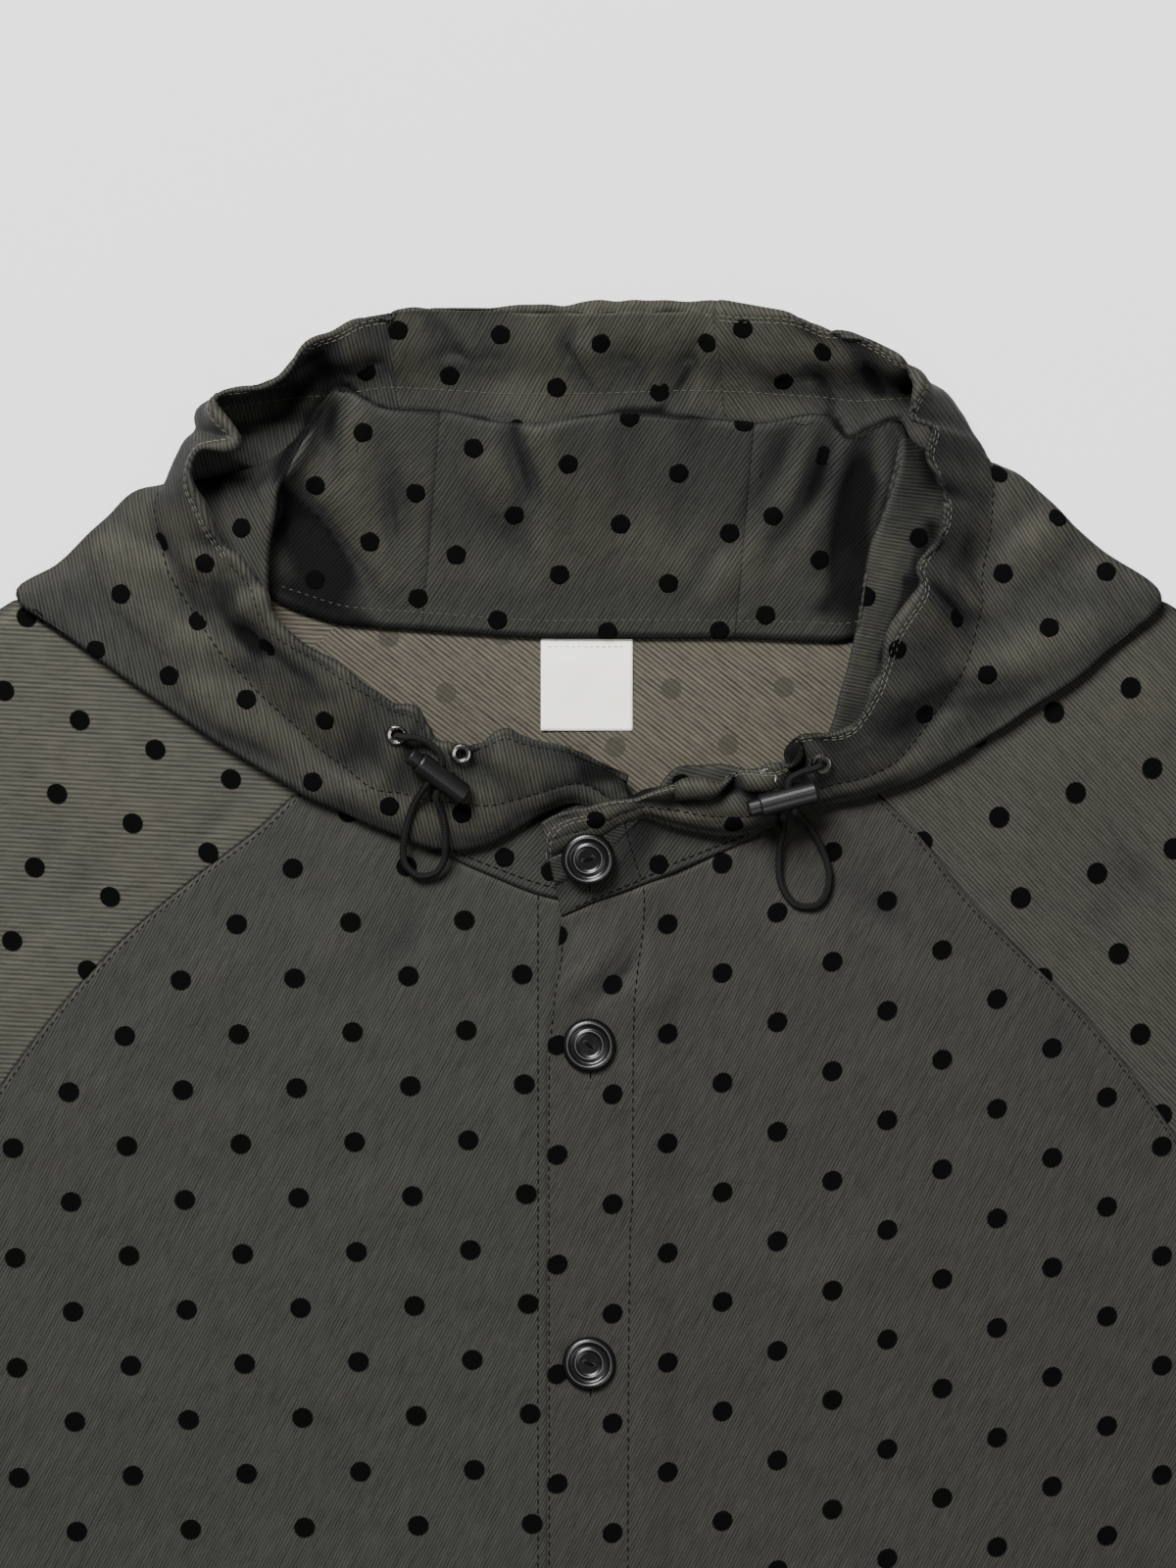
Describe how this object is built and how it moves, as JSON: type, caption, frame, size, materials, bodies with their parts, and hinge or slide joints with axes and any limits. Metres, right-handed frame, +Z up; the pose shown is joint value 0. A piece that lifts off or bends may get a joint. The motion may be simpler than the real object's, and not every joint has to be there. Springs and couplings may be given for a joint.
{
  "type": "coach jacket",
  "caption": "Hooded raglan coach jacket in dark olive twill with black dots, laid flat face up, its hood spread open.",
  "frame": {"origin": "centre of the jacket's outline, on the surface that it lies on", "axes": "+Z up off the surface, +Y from the hem to the hood, +X to the right of the picture, which is the wearer's left"},
  "size_m": [1.5568, 0.846, 0.0351],
  "materials": {
    "twill": "olive-charcoal shot twill with black flocked dots",
    "label": "woven satin, off-white, blank",
    "button": "polished black, turned, two holes",
    "eyelet": "dark nickel",
    "lock": "black satin",
    "cord": "round elastic cord, braided cover"
  },
  "bodies": {
    "jacket": {"back": "twill", "front_left": "twill", "front_right": "twill", "sleeve_left": "twill", "sleeve_right": "twill", "hood_centre": "twill", "hood_side_left": "twill", "hood_side_right": "twill", "hood_tucked_folds": "twill", "neck_label": "label", "button_1": "button", "button_2": "button", "button_3": "button", "button_4": "button", "button_5": "button", "button_6": "button", "eyelet_left_a": "eyelet", "eyelet_left_b": "eyelet", "eyelet_right_a": "eyelet", "eyelet_right_b": "eyelet", "lock_barrel_left": "lock", "lock_barrel_right": "lock", "cord_left": "cord", "cord_right": "cord"},
    "plunger_left": {"lock_plunger_left": "lock"},
    "plunger_right": {"lock_plunger_right": "lock"}
  },
  "joints": [
    {"name": "plunger_left_press", "type": "slide", "parent": "jacket", "child": "plunger_left", "axis": [0.7808, -0.5773, -0.2389], "range_m": [0, 0.003], "stiffness_N_per_m": 400},
    {"name": "plunger_right_press", "type": "slide", "parent": "jacket", "child": "plunger_right", "axis": [0.9636, 0.2498, -0.0948], "range_m": [0, 0.003], "stiffness_N_per_m": 400}
  ]
}
